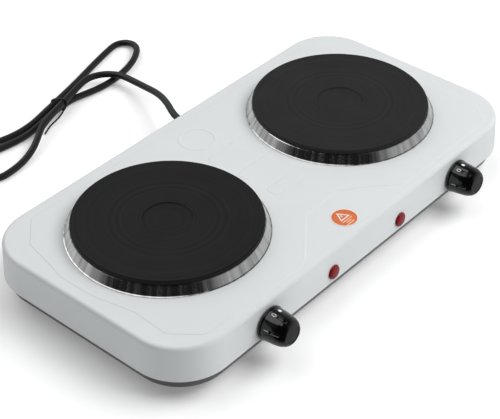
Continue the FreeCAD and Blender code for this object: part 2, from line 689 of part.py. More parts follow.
def build_control(side, sign):
    """One thermostat, its shaft and its knob, measured outwards from the drafted front wall."""
    def on_wall(item, label):
        place(item, sign * d.knob_spacing / 2, -wall_point(d.knob_drop), SHELL_TOP - d.knob_drop, TO_FRONT)
        return node(item, f"{side}_{label}") if label else item

    behind = d.sheet_steel + 0.05
    plate = box(f"{side}_frame_plate", 26, 16, 1.2, 0, 0, -behind - 1.2)
    legs = [box(f"{side}_frame_leg_{number}", 22, 1.2, 16, 0, shift * 7.4, -behind - 16)
            for number, shift in enumerate((-1, 1))]
    bush = post(f"{side}_frame_bush", 5, 4, 0, 0, -behind - 5)
    bores = [post(f"{side}_frame_bore", 3.05, 12, 0, 0, -behind - 8)]
    bores += [post(f"{side}_frame_thread_{number}", 1.55, 4, shift * d.screw_spread, 0, -behind - 3)
              for number, shift in enumerate((-1, 1))]
    on_wall(cut(f"{side}_frame", fuse(f"{side}_frame_parts", [plate, bush] + legs), bores), "thermostat_frame")

    ceramic = box(f"{side}_stat_block", 30, 14, 12, 0, 0, -behind - 28)
    pocket_block = box(f"{side}_stat_pocket", 22, 9, 6, 0, 0, -behind - 20)
    on_wall(cut(f"{side}_stat", ceramic, [pocket_block]), "thermostat_body")
    strip = box(f"{side}_bimetal", 34, 5, 0.6, 0, 0, -behind - 15)
    rivets = [post(f"{side}_rivet_{number}", 1.6, 1.0, shift * 13, 0, -behind - 16)
              for number, shift in enumerate((-1, 1))]
    on_wall(fuse(f"{side}_contact_set", [strip] + rivets), "thermostat_contacts")

    shaft = turned(f"{side}_spindle", [
        (0, -behind - 14), (2.0, -behind - 14), (2.0, -behind - 9), (5.0, -behind - 9), (5.0, -behind - 6),
        (d.shaft_radius, -behind - 6), (d.shaft_radius, 18), (0, 18)])
    flat = box(f"{side}_spindle_flat", 8, 3, 11, 0, d.shaft_radius + 0.1, 8)
    on_wall(cut(f"{side}_shaft", shaft, [flat]), "control_shaft")

    radius, length, gap = d.knob_radius, d.knob_length, d.knob_gap
    knob = turned(f"{side}_knob_blank", [
        (0, 5.6), (4.6, 5.6), (4.6, gap + 0.6), (5.0, gap + 0.6), (5.0, 4.6), (11.8, 4.6), (11.8, gap),
        (radius, gap), (radius, gap + 1.8), (radius - 0.5, gap + 2.6), (radius - 0.9, 8), (radius - 1.2, 12),
        (radius - 1.7, 16), (radius - 2.5, 19), (radius - 3.8, 21.8), (radius - 5.2, 23.3),
        (radius - 6.4, length), (7.0, length), (7.0, length - 1.2), (0, length - 1.2)])
    bore = post(f"{side}_knob_bore", d.shaft_radius + 0.05, 17.9, 0, 0, 0.2)
    key = box(f"{side}_knob_key", 7, 2, 9.8, 0, d.shaft_radius + 0.1, 8.2)
    hollow = cut(f"{side}_knob_socket", bore, [key])
    on_wall(cut(f"{side}_knob_shell", knob, [hollow]), "knob")
    cap = turned(f"{side}_cap_disc", [
        (0, length - 1.15), (6.9, length - 1.15), (6.9, length - 0.35), (6.4, length - 0.1), (0, length + 0.1)])
    on_wall(cap, "knob_cap")

    screws = []
    for number, shift in enumerate((-1, 1)):
        screw = cross_screw(f"{side}_control_screw_{number}", 2.7, 1.7, 1.5, 5)
        turn = TO_FRONT.multiply(Rotation(Vector(1, 0, 0), 180))
        x = sign * d.knob_spacing / 2 + shift * d.screw_spread
        screws.append(place(screw, x, -wall_point(d.knob_drop) - 0.05, SHELL_TOP - d.knob_drop, turn))
    return screws


def build_pilot(side, sign):
    def on_wall(item):
        x = sign * d.pilot_spacing / 2
        return place(item, x, -wall_point(d.pilot_drop), SHELL_TOP - d.pilot_drop, TO_FRONT)

    lens = turned(f"{side}_lens_moulding", [
        (3.4, -16), (5.0, -16), (5.0, 0.06), (d.lens_radius, 0.06), (d.lens_radius, 0.9), (5.6, 1.9),
        (4.2, 2.6), (2.2, 3.0), (0, 3.1), (0, 0.6), (3.4, 0.2)])
    node(on_wall(lens), f"{side}_pilot_lens")
    lamp = turned(f"{side}_neon", [
        (0, -13), (2.2, -13), (2.5, -12), (2.5, -3), (1.8, -1.2), (0, -0.4)])
    node(on_wall(lamp), f"{side}_pilot_lamp")
    clip = turned(f"{side}_push_nut", [
        (5.05, -d.sheet_steel - 0.1), (8.2, -d.sheet_steel - 0.1), (8.2, -d.sheet_steel - 0.8),
        (5.05, -d.sheet_steel - 1.6)])
    return on_wall(clip)


# ---------------------------------------------------------------- wiring

def wire_set(label, routes, radius):
    strands = []
    for route in routes:
        shape, length, radii = tube(route, radius)
        strands.append(shape)
    node(solid(label + "_strands", Part.makeCompound(strands)), label)


def mirrored(route, sign):
    return [(sign * x, y, z) for x, y, z in route]


def build_wiring():
    block = box("mains_strip", 36, 16, 13, 0, 0, 0)
    entries = [cylinder(f"mains_entry_{number}", 2.0, 30) for number in range(3)]
    for number, entry in enumerate(entries):
        entry.Placement = Placement(Vector((number - 1) * 11.5, -15, 7), Rotation(Vector(1, 0, 0), -90))
    screw_bores = [post(f"mains_bore_{number}", 2.3, 8, (number - 1) * 11.5, 0, 9) for number in range(3)]
    strip = cut("mains_block", block, entries + screw_bores)
    floor = PAN_FLOOR + d.sheet_steel
    node(place(strip, MAINS_SPOT[0], MAINS_SPOT[1], floor), "mains_terminal_block")
    screws = [post(f"mains_screw_{number}", 2.1, 3, (number - 1) * 11.5, 0, 9.3) for number in range(3)]
    node(place(group("mains_screw_set", screws), MAINS_SPOT[0], MAINS_SPOT[1], floor), "terminal_screws")

    level = PAN_FLOOR.value + d.sheet_steel.value + 7
    x, front = MAINS_SPOT[0], MAINS_SPOT[1] - 8.2
    pitch = 11.5
    left_live = [(x - pitch, front, level), (x - 13.5, front - 10, 15.5), (16, 38, 14), (-10, 20, 13.5),
                 (-60, -30, 15), (-102, -62, 20), (-112, -72, 24)]
    live = [left_live, [(112, -72, 24), (104, -58, 20), (80, -20, 15), (58, 18, 13), (38, 36, 12.6),
                        (27, 46, 13), (x - pitch + 4, front - 4, 15.8)],
            mirrored([(128, -74, 28), (132, -52, 26), (128, -12, 22), (119, 18, 26), (116, 32, 32)], -1),
            [(128, -74, 28), (132, -52, 26), (128, -12, 22), (119, 18, 26), (106, 32, 32)]]
    neutral = [[(x, front, level), (x - 4, front - 12, 19.5), (-30, 50, 17), (-80, 66, 20),
                (-108, 74, 28), (-114, 70, 36)],
               [(x + 3, front - 2, level + 1), (x + 8, front - 12, level), (62, 50, 16), (90, 64, 20),
                (104, 74, 28), (107, 72, 36)]]
    earth = [[(x + pitch, front, level), (x + 20, front - 8, level), (x + 30, front + 4, 15),
              (EARTH_SPOT[0] + 2, EARTH_SPOT[1] - 5, 13.6)]]
    wire_set("live_wires", live, d.wire_radius.value)
    wire_set("neutral_wires", neutral, d.wire_radius.value)
    wire_set("earth_wire", earth, d.wire_radius.value)
    sheath = cylinder("lead_sheath", d.cord_diameter / 2, 16)
    wall = wall_point(SHELL_TOP - d.cord_exit_height).value
    inward = Rotation(Vector(1, 0, 0), 90)
    node(place(sheath, d.cord_exit, wall - 12.6, d.cord_exit_height, inward), "inner_sheath")
    stud = turned("earth_stud", [(0, 8.0), (3.8, 8.0), (3.8, 9.9), (2.0, 9.9), (2.0, 16), (0, 16)])
    node(place(stud, EARTH_SPOT[0], EARTH_SPOT[1]), "earth_screw")


MAINS_SPOT = (34.0, 68.0)


# ---------------------------------------------------------------- mains lead

def build_lead():
    radius = d.cord_diameter / 2
    inside, outside = 12.0, d.relief_length
    relief = turned("relief_bush", [
        (0, -inside), (4.8, -inside), (5.4, -inside + 1.2), (5.4, 0.5), (8.2, 0.5), (8.2, 2.6), (5.6, 3.3),
        (radius + 0.9, outside), (0, outside)])
    wall = wall_point(SHELL_TOP - d.cord_exit_height)
    level_rear = Rotation(Vector(1, 0, 0), -90)
    node(place(relief, d.cord_exit, wall, d.cord_exit_height, level_rear), "strain_relief")

    shape, length, radii = tube(CORD_ROUTE, radius.value)
    lead = solid("mains_lead", shape)
    node(lead, "power_cord")
    print("power_cord length", round(length), "smallest radii", [round(value) for value in sorted(radii)[:6]])
    print("radii in order", [round(value) for value in radii])

    loop, radii = rounded_route([(1, y, z) for y, z in TIE_OUTLINE], True, 3.5)
    start = loop.Edges[0].Vertexes[0].Point
    wire = Part.Wire(Part.makeCircle(d.tie_radius.value, start, loop.Edges[0].tangentAt(0)))
    hoop = loop.makePipeShell([wire], True, False)
    tail, length, radii = tube(TIE_TAIL, d.tie_radius.value)
    node(solid("twist_tie", hoop.fuse(tail)), "cord_tie")


def build_plug():
    """A round two-pin earthed plug lying on its side, pins away from the lead."""
    before, last = Vector(*CORD_ROUTE[-2]), Vector(*CORD_ROUTE[-1])
    way = Vector(last.x - before.x, last.y - before.y, 0)
    turn = Rotation(Vector(way.y, -way.x, 0), Vector(0, 0, -1), way, "ZXY")
    big = d.plug_radius
    body = turned("plug_moulding", [
        (0, 0), (4.0, 0), (5.2, 12), (6.6, 19), (12.0, 24), (big - 1.6, 28), (big, 32), (big, 50),
        (big - 0.8, 52), (0, 52)])
    node(place(body, *CORD_ROUTE[-1], turn), "plug_body")
    pins = []
    for number, shift in enumerate((-1, 1)):
        pin_body = turned(f"plug_pin_{number}", [
            (0, 52.05), (d.pin_radius, 52.05), (d.pin_radius, 69.5), (d.pin_radius - 1, 71), (0, 71)])
        pin_body.Placement = Placement(Vector(shift * d.pin_spacing.value / 2, 0, 0), UPRIGHT)
        pin_body.setExpression("Placement.Base.x", (shift * d.pin_spacing / 2).text)
        pins.append(pin_body)
    node(place(group("plug_pin_set", pins), *CORD_ROUTE[-1], turn), "plug_pins")


def build_sticker():
    disc = cylinder("hot_label", d.sticker_radius, d.sticker_depth)
    node(place(disc, -6.8, -91.5, SHELL_TOP), "warning_sticker")


# ---------------------------------------------------------------- build, check and write

build_top_shell()
build_base_pan()
build_feet()
build_brackets()
nuts, control_screws, clips = [], [], []
for side, sign in SIDES.items():
    nuts.append(build_plate(side, sign))
    control_screws += build_control(side, sign)
    clips.append(build_pilot(side, sign))
node(group("stud_nut_set", nuts), "stud_nuts")
node(group("control_screw_set", control_screws), "control_screws")
node(group("pilot_clip_set", clips), "pilot_clips")
build_wiring()
build_lead()
build_plug()
build_sticker()
doc.recompute()

for item in doc.Objects:
    if "Invalid" in item.State or "Error" in item.State:
        raise RuntimeError(f"{item.Name} failed: {item.State}")
    if item.TypeId == "PartDesign::Pocket" and item.Shape.Volume > item.BaseFeature.Shape.Volume - 0.1:
        raise RuntimeError(f"{item.Name} cuts nothing")

os.makedirs("parts", exist_ok=True)
for label, item in nodes.items():
    shape = item.Shape
    if shape.isNull() or not shape.isValid():
        raise RuntimeError(f"{label} has no valid shape")
    shape.exportStep(f"parts/{label}.step")
print(len(nodes), "sub-parts written")
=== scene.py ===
"""A twin hot plate: finishes, lead, knob markings, label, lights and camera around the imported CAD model."""

import json
import math

import bmesh
import bpy
from mathutils import Matrix, Vector


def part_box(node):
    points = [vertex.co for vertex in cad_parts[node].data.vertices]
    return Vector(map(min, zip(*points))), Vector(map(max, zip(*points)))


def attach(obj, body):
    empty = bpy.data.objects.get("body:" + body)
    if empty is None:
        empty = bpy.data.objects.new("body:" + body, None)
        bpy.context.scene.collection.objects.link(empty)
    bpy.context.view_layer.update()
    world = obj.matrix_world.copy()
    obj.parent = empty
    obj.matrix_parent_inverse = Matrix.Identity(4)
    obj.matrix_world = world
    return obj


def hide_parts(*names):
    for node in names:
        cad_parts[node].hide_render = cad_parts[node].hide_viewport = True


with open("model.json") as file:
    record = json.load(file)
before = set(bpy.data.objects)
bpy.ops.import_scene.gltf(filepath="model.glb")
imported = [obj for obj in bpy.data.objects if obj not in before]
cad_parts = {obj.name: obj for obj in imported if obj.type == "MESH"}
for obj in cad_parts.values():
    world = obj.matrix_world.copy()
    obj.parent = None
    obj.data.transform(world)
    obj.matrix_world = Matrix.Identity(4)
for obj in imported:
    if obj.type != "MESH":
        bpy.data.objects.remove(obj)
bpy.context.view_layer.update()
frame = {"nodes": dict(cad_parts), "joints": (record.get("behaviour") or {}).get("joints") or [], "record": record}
nodes = frame["nodes"]
MM = 0.001
CASE_SHIFT = 11.74      # how far the case's middle lies behind the origin, in millimetres


# ---------------------------------------------------------------- camera

CAMERA_PLACE = (-0.7522, -0.62186, 0.7770)
CAMERA_AZIMUTH = -49.25     # in degrees from straight ahead of the knobs
CAMERA_ELEVATION = 37.94
LENS = 104.69               # in millimetres, on a sensor 36 mm wide


def back_of(azimuth, elevation):
    """The way from what is looked at towards the viewer."""
    turn = math.radians(azimuth)
    rise = math.radians(elevation)
    return Vector((math.sin(turn) * math.cos(rise), -math.cos(turn) * math.cos(rise), math.sin(rise)))


camera = bpy.data.objects.new("camera", bpy.data.cameras.new("camera"))
bpy.context.scene.collection.objects.link(camera)
camera.location = CAMERA_PLACE
camera.rotation_euler = back_of(CAMERA_AZIMUTH, CAMERA_ELEVATION).to_track_quat("Z", "Y").to_euler()
camera.data.sensor_width = 36
camera.data.lens = LENS
bpy.context.scene.camera = camera


# ---------------------------------------------------------------- the lead

# From the middle of the case, in millimetres: out of the case, through the tie, round the left-hand
# loop, back through the tie, round the right-hand loop, through the tie again and on to the plug.
CORD_ROUTE = [
    (33, 118.95, 29), (33.2, 128.4, 29.3), (36.7, 138.2, 28.8), (42.2, 147.4, 27.5), (47.8, 156.2, 26),
    (53.2, 165.6, 24.1), (58.4, 175.8, 21.7), (62.8, 186.8, 18.9), (66.6, 200, 15.6), (69.8, 214.8, 12.6),
    (71.2, 228.3, 11.4), (70.8, 240.5, 11.2), (65.6, 251.3, 11.2), (56.2, 258.8, 11.2), (44.5, 261.5, 11.3),
    (32, 258.6, 11.6), (18.5, 253.9, 11.7),
    (4, 249, 11.8), (-11, 244.7, 11.8), (-26, 239.6, 11.6), (-39.5, 234.6, 11.2), (-51, 227.2, 9.4),
    (-64, 220, 6.2), (-80, 214.6, 4), (-96.5, 212.3, 3.3), (-110.9, 212.1, 3.3), (-121.7, 220.8, 3.3),
    (-124.6, 234.4, 3.3), (-118.3, 246.8, 3.3), (-105.6, 252.4, 3.3), (-89, 248, 3.3), (-72, 244.6, 3.3),
    (-54, 243.2, 3.3), (-37, 245.4, 3.6), (-18, 249.6, 4.6), (1, 252.4, 5.2), (17, 253.5, 5),
    (32, 251.8, 4.2), (47, 249.6, 3.6), (62, 248.9, 3.6), (77, 250, 4.2), (91, 252.4, 5.2),
    (104.5, 257.2, 5.8), (116.5, 264.8, 5.7), (124.6, 272.4, 5), (128, 281.8, 4.2), (125.2, 290.4, 3.6),
    (116, 295.2, 3.3), (100, 291.2, 3.3), (82, 286.2, 3.3), (63, 280.4, 3.3), (44, 274.3, 3.4),
    (24, 268, 4.2), (5, 262, 5.2), (-14, 257.4, 4.8), (-34, 253, 3.6), (-53, 251.8, 3.3),
    (-72, 254.6, 3.3), (-88, 259.4, 5), (-103, 264.6, 10), (-118, 269.2, 15.2), (-133, 273, 18.1),
    (-149, 276.4, 18.45),
]
CORD_DIAMETER = 0.0064
TIE_X = 1
TIE_RADIUS = 0.0008
TIE_OUTLINE = [(249.4, 0.85), (265.6, 0.85), (265.6, 7.7), (249.6, 16), (245.4, 16), (243.3, 11.4)]
TIE_TAIL = [(1, 246.5, 6.1), (-6, 243.8, 4.4), (-14, 242, 2.6), (-22, 241.2, 1.6), (-29, 238.6, 1.2),
            (-36, 235, 1.2)]


def from_case(x, y, z):
    """A point given in millimetres from the case's middle, in metres in the object's frame."""
    return Vector((x * MM, (y + CASE_SHIFT) * MM, z * MM))


# A curve's bounding box grows by its points' radius, so that is small and bevel_depth makes up for it.
POINT_RADIUS = 0.001


def curve(name, points, radius, closed=False):
    """A round curve that follows points given in millimetres from the case's middle."""
    data = bpy.data.curves.new(name, "CURVE")
    data.dimensions = "3D"
    spline = data.splines.new("NURBS")
    spline.points.add(len(points) - 1)
    for point, place in zip(spline.points, points):
        point.co = (*from_case(*place), 1)
        point.radius = POINT_RADIUS
    spline.use_cyclic_u = closed
    spline.order_u = 3
    spline.use_endpoint_u = not closed
    spline.resolution_u = 12
    data.bevel_depth = radius / POINT_RADIUS
    data.bevel_resolution = 8
    data.use_fill_caps = not closed
    piece = bpy.data.objects.new(name, data)
    bpy.context.scene.collection.objects.link(piece)
    return piece


cord = curve("mains_cord", CORD_ROUTE, CORD_DIAMETER / 2)
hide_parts("power_cord")
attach(cord, "case")


# ---------------------------------------------------------------- mesh helpers

CREASE_ANGLE = math.radians(40)


def mesh_object(name, vertices, faces, smooth=True):
    """A mesh piece in the object's frame, shaded smooth or flat."""
    data = bpy.data.meshes.new(name)
    data.from_pydata(vertices, [], faces)
    data.update()
    for polygon in data.polygons:
        polygon.use_smooth = smooth
    piece = bpy.data.objects.new(name, data)
    bpy.context.scene.collection.objects.link(piece)
    return piece


def resample(profile, step):
    """A lathe profile's points with more between them, no further apart than step."""
    points = [profile[0]]
    for start, end in zip(profile, profile[1:]):
        count = max(1, math.ceil(math.dist(start, end) / step))
        for number in range(1, count + 1):
            points.append(tuple(Vector(start).lerp(Vector(end), number / count)))
    return points


def rounded(profile, reach):
    """A lathe profile with each corner replaced by a small curve that begins at most `reach` before it."""
    steps = 4
    points = [profile[0]]
    for before, corner, after in zip(profile, profile[1:], profile[2:]):
        corner = Vector(corner)
        back = Vector(before) - corner
        onward = Vector(after) - corner
        start = corner + back.normalized() * min(reach, back.length * 0.45)
        end = corner + onward.normalized() * min(reach, onward.length * 0.45)
        for number in range(steps + 1):
            t = number / steps
            points.append(tuple(start * (1 - t) ** 2 + corner * 2 * t * (1 - t) + end * t ** 2))
    points.append(profile[-1])
    return points


def polar(radius, angle, height):
    """A point given in millimetres about the Z axis, in metres."""
    return Vector((radius * math.cos(angle), radius * math.sin(angle), height)) * MM


def lathe(name, profile, place, segments, offset):
    """A turned piece: profile of (radius, height) in millimetres about the Z axis of `place`.

    offset(angle, height) is added to the radius of each point.
    """
    vertices = []
    faces = []
    for radius, height in profile:
        for number in range(segments):
            angle = 2 * math.pi * number / segments
            vertices.append(place @ polar(radius + offset(angle, height), angle, height))
    for row in range(len(profile) - 1):
        for number in range(segments):
            following = (number + 1) % segments
            a, b = row * segments + number, row * segments + following
            faces.append((a, b, b + segments, a + segments))
    faces.append(tuple(reversed(range(segments))))
    faces.append(tuple((len(profile) - 1) * segments + number for number in range(segments)))
    return mesh_object(name, vertices, faces)


def outlined(piece):
    """Keeps the edges of a smooth-shaded piece crisp where its faces meet at more than the crease angle."""
    mesh = bmesh.new()
    mesh.from_mesh(piece.data)
    for edge in mesh.edges:
        if edge.calc_face_angle(0) > CREASE_ANGLE:
            edge.smooth = False
    mesh.to_mesh(piece.data)
    mesh.free()


# ---------------------------------------------------------------- finishes

def start_material(name):
    """A new material, its node tree and its main shader."""
    material = bpy.data.materials.new(name)
    material.use_nodes = True
    tree = material.node_tree
    return material, tree, tree.nodes["Principled BSDF"]


def add(tree, kind, inputs=None, **settings):
    """A new shader node with its settings and inputs; an input is a value or another node's output."""
    made = tree.nodes.new(kind)
    for key, value in settings.items():
        setattr(made, key, value)
    for key, value in (inputs or {}).items():
        if isinstance(value, bpy.types.NodeSocket):
            tree.links.new(value, made.inputs[key])
        else:
            made.inputs[key].default_value = value
    return made


def calculate(tree, operation, *values):
    """What a maths node makes of the values."""
    return add(tree, "ShaderNodeMath", dict(enumerate(values)), operation=operation).outputs["Value"]


def noise(tree, scale, detail=3.0):
    """A noise value between about 0.3 and 0.7, in the object's own metres."""
    place = add(tree, "ShaderNodeTexCoord").outputs["Object"]
    made = add(tree, "ShaderNodeTexNoise", {"Vector": place, "Scale": scale, "Detail": detail})
    return made.outputs["Fac"]


def line_noise(tree, value, scale, detail):
    """A noise that changes along one value only."""
    inputs = {"W": value, "Scale": scale, "Detail": detail}
    return add(tree, "ShaderNodeTexNoise", inputs, noise_dimensions="1D").outputs["Fac"]


def ranged(tree, value, low, high, out_low, out_high):
    """The value carried over from one range to another."""
    inputs = {"Value": value, "From Min": low, "From Max": high, "To Min": out_low, "To Max": out_high}
    return add(tree, "ShaderNodeMapRange", inputs).outputs["Result"]


def tinted(tree, value, colour, mottle):
    """The colour, from darker to lighter by the share `mottle` as the value goes from 0.3 to 0.7."""
    made = add(tree, "ShaderNodeValToRGB", {"Fac": value})
    for stop, position, share in zip(made.color_ramp.elements, (0.3, 0.7), (1 - mottle, 1 + mottle)):
        stop.position = position
        stop.color = (*[min(1.0, channel * share) for channel in colour], 1)
    return made.outputs["Color"]


def complete(tree, shader, colour, roughness, height, depth, metal, sockets):
    """Joins a finish's parts to its shader; depth is its relief, in millimetres."""
    relief = add(tree, "ShaderNodeBump", {"Height": height, "Strength": 1.0, "Distance": depth * MM})
    tree.links.new(colour, shader.inputs["Base Color"])
    tree.links.new(roughness, shader.inputs["Roughness"])
    tree.links.new(relief.outputs["Normal"], shader.inputs["Normal"])
    shader.inputs["Metallic"].default_value = metal
    for key, value in sockets.items():
        shader.inputs[key.replace("_", " ")].default_value = value


def finish(name, colour, rough, metal=0.0, mottle=0.06, patch=40.0, grain=900.0, depth=0.02, **sockets):
    """A procedural finish: colour mottled in patches, roughness that varies, and a fine surface grain."""
    material, tree, shader = start_material(name)
    shades = tinted(tree, noise(tree, patch), colour, mottle)
    fine = noise(tree, grain, detail=2.0)
    spread = ranged(tree, fine, 0.3, 0.7, rough * 0.85, rough * 1.15)
    complete(tree, shader, shades, spread, fine, depth, metal, sockets)
    return material


def circular(name, centre, colour, rough, metal, pitch, depth, mottle=0.1, streak=0.0, **sockets):
    """A turned finish: fine grooves about a centre, each `pitch` millimetres wide.

    With a streak, the colour and the roughness vary round the centre, the roughness by that much.
    """
    material, tree, shader = start_material(name)
    place = add(tree, "ShaderNodeTexCoord").outputs["Object"]
    about = add(tree, "ShaderNodeVectorMath", {0: place, 1: centre}, operation="SUBTRACT").outputs["Vector"]
    flat = add(tree, "ShaderNodeVectorMath", {0: about, 1: (1, 1, 0)}, operation="MULTIPLY")
    length = add(tree, "ShaderNodeVectorMath", {0: flat.outputs["Vector"]}, operation="LENGTH")
    turns = calculate(tree, "MULTIPLY", length.outputs["Value"], 1 / (pitch * MM))
    ridge = calculate(tree, "PINGPONG", turns, 0.5)
    uneven = line_noise(tree, turns, 0.37, 3.0)
    height = calculate(tree, "ADD", calculate(tree, "ADD", ridge, uneven), noise(tree, 900.0))
    if streak:
        parts = add(tree, "ShaderNodeSeparateXYZ", {"Vector": about}).outputs
        shades = line_noise(tree, calculate(tree, "ARCTAN2", parts["Y"], parts["X"]), 14.0, 4.0)
        spread = ranged(tree, shades, 0.35, 0.65, rough, rough + streak)
    else:
        shades = noise(tree, 30.0)
        spread = ranged(tree, uneven, 0.3, 0.7, rough * 0.9, rough * 1.1)
    complete(tree, shader, tinted(tree, shades, colour, mottle), spread, height, depth, metal, sockets)
    return material


def paint(piece, material):
    """Gives every face of a piece one material, without touching its mesh's shape."""
    if not piece.material_slots:
        piece.data.materials.append(material)
    for holder in piece.material_slots:
        holder.material = material


FINISHES = {
    "shell_paint": finish("shell_enamel", (0.70, 0.725, 0.728), 0.42, mottle=0.012, patch=18, grain=700,
                          depth=0.012, Coat_Weight=0.25, Coat_Roughness=0.2),
    "pan_paint": finish("pan_enamel", (0.12, 0.12, 0.125), 0.45, mottle=0.08, grain=700, depth=0.02),
    "zinc_steel": finish("zinc_plate", (0.6, 0.61, 0.62), 0.35, metal=1.0, mottle=0.12, patch=220),
    "coil_steel": finish("oxidised_sheath", (0.25, 0.23, 0.22), 0.5, metal=1.0, mottle=0.3, patch=150),
    "bed_ceramic": finish("pressed_powder", (0.75, 0.71, 0.63), 0.9, mottle=0.1, grain=1500, depth=0.06),
    "block_ceramic": finish("steatite", (0.82, 0.79, 0.72), 0.6, mottle=0.04, grain=1200, depth=0.03),
    "brass_fitting": finish("stamped_brass", (0.72, 0.52, 0.22), 0.3, metal=1.0, mottle=0.1, patch=200),
    "strip_plastic": finish("ivory_plastic", (0.8, 0.77, 0.68), 0.45),
    "live_insulation": finish("brown_silicone", (0.16, 0.05, 0.02), 0.55, mottle=0.12),
    "neutral_insulation": finish("blue_silicone", (0.02, 0.07, 0.35), 0.55, mottle=0.12),
    "earth_insulation": finish("green_silicone", (0.25, 0.42, 0.03), 0.55, mottle=0.12),
    "knob_plastic": finish("knob_black", (0.002, 0.002, 0.0022), 0.13, mottle=0.1, grain=1200, depth=0.006,
                           Specular_IOR_Level=0.65),
    "cap_plastic": finish("cap_grey", (0.014, 0.0145, 0.015), 0.42, mottle=0.15, patch=300, grain=2500,
                          depth=0.02, Specular_IOR_Level=0.35),
    "lens_plastic": finish("lens_red", (0.3, 0.004, 0.006), 0.12, mottle=0.1, patch=120, grain=500,
                           depth=0.01, Transmission_Weight=0.35, IOR=1.5, Coat_Weight=0.25,
                           Coat_Roughness=0.06),
    "lamp_glass": finish("lamp_clear", (0.95, 0.6, 0.45), 0.1, Transmission_Weight=0.6),
    "foot_rubber": finish("foot_black", (0.018, 0.018, 0.019), 0.75, mottle=0.2, grain=1500, depth=0.05),
    "cord_pvc": finish("cord_black", (0.0085, 0.0082, 0.008), 0.42, mottle=0.2, patch=90, grain=1400,
                       depth=0.03),
    "tie_plastic": finish("tie_black", (0.008, 0.008, 0.008), 0.45, mottle=0.2, patch=300),
    "plug_plastic": finish("plug_black", (0.012, 0.012, 0.013), 0.45, mottle=0.15, grain=1000, depth=0.03),
    "pin_metal": finish("pin_nickel", (0.72, 0.7, 0.66), 0.22, metal=1.0, mottle=0.08, patch=200),
    "sticker_paper": finish("label_orange", (0.66, 0.16, 0.05), 0.4, mottle=0.1, patch=260, grain=2000,
                            depth=0.01),
}
PRINT_WHITE = finish("print_white", (0.86, 0.84, 0.82), 0.5, mottle=0.03, patch=400, grain=2500, depth=0.005)
PRINT_PALE = finish("print_pale", (0.93, 0.6, 0.42), 0.5, mottle=0.06, patch=400, grain=2500, depth=0.005)

# One cast-iron coating for both plates. Its colour is darker on the left plate and lighter on the right: painted
# shade and painted light for how light falls on each plate.
PLATE_PAINTED_LIGHT_AND_SHADE = {"left": 0.009, "right": 0.017}
for side, shade in PLATE_PAINTED_LIGHT_AND_SHADE.items():
    low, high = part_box(f"{side}_hotplate")
    centre = ((low.x + high.x) / 2, (low.y + high.y) / 2, 0)
    plate = circular(f"{side}_plate_coating_painted_light", centre, (shade, shade, shade * 1.04), rough=0.62, metal=0.0,
                     pitch=1.1, depth=0.02, Specular_IOR_Level=0.22)
    ring = circular(f"{side}_ring_polish", centre, (0.6, 0.595, 0.585), rough=0.1, metal=1.0,
                    pitch=3.0, depth=0.004, mottle=0.25, streak=0.16)
    paint(nodes[f"{side}_hotplate"], plate)
    paint(nodes[f"{side}_trim_ring"], ring)

for part in frame["record"]["subparts"]:
    if part["material_slot"] in FINISHES:
        paint(nodes[part["node"]], FINISHES[part["material_slot"]])
paint(cord, FINISHES["cord_pvc"])


# ---------------------------------------------------------------- tie

hoop = curve("tie_hoop", [(TIE_X, y, z) for y, z in TIE_OUTLINE], TIE_RADIUS, closed=True)
tail = curve("tie_tail", TIE_TAIL, TIE_RADIUS)
for piece in (hoop, tail):
    paint(piece, FINISHES["tie_plastic"])
    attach(piece, "case")
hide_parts("cord_tie")


# ---------------------------------------------------------------- knobs

# The knobs' sizes are in millimetres and their angles in degrees.
KNOB_LENGTH = 24.0
KNOB_GAP = 1.0              # between the knob and the wall
CAP_SEAT = 22.8             # the floor of the recess that holds the end disc
KNOB_SIDE = [(14.6, 2.8), (14.1, 3.6), (13.7, 8), (13.4, 12), (12.9, 16), (12.1, 19), (10.8, 21.8),
             (9.4, 23.3), (8.2, KNOB_LENGTH)]
KNOB_OUTER = [(11.8, KNOB_GAP), (14.6, KNOB_GAP), *KNOB_SIDE, (7.0, KNOB_LENGTH), (7.0, CAP_SEAT),
              (0.4, CAP_SEAT)]
CORNER_REACH = 0.5          # a rounded corner begins at most this far before it
KNOB_FINENESS = 0.45        # the longest step along the knob's profile
KNOB_SEGMENTS = 300
KNOB_START = {"left": 13.0, "right": 28.5}     # how far the 0 stands from the top
STEP = 58.0                 # between one numeral and the next
NUMERALS = range(6)
NUMERAL_SIZE = 6.0
NUMERAL_HEIGHT = 8.6        # from the wall to the numeral's middle
DOT_RADIUS = 1.25
DOT_STRETCH = 1.3
DOT_HEIGHT = 8.4
PRINT_LIFT = 0.05           # how far the print stands off the knob's side
SLOT_HALF = 1.3             # half of a finger slot's width
SLOT_FROM = 11.2
SLOT_TO = 20.0
SLOT_DEPTH = 0.7


def knob_radius_at(height):
    """The outer radius of the knob's side, this far from the wall."""
    for (r0, h0), (r1, h1) in zip(KNOB_SIDE, KNOB_SIDE[1:]):
        if height <= h1:
            return r0 + (r1 - r0) * (height - h0) / (h1 - h0)
    return KNOB_SIDE[-1][0]


def knob_place(joint):
    """The knob's own axes: Z out of the wall, X up, Y towards the left-hand end."""
    out = -Vector(joint["axis"])
    up = (Vector((0, 0, 1)) - out * out.z).normalized()
    return Matrix.Translation(joint["pos_m"]) @ Matrix((up, out.cross(up), out)).transposed().to_4x4()


def soft_step(value, width):
    """0 at or below 0, 1 at or above width, smooth between."""
    t = min(1.0, max(0.0, value / width))
    return t * t * (3 - 2 * t)


def slots(start):
    """How far the knob's side sinks at an angle and height, for a finger slot beyond each numeral."""
    def depth(angle, height):
        deepest = 0.0
        for number in NUMERALS:
            apart = (angle - math.radians(start + STEP * number) + math.pi) % (2 * math.pi) - math.pi
            across = SLOT_HALF - abs(apart) * knob_radius_at(height)
            along = min(height - SLOT_FROM, SLOT_TO - height)
            deepest = max(deepest, soft_step(across, 0.6) * soft_step(along, 1.0))
        return -SLOT_DEPTH * deepest
    return depth


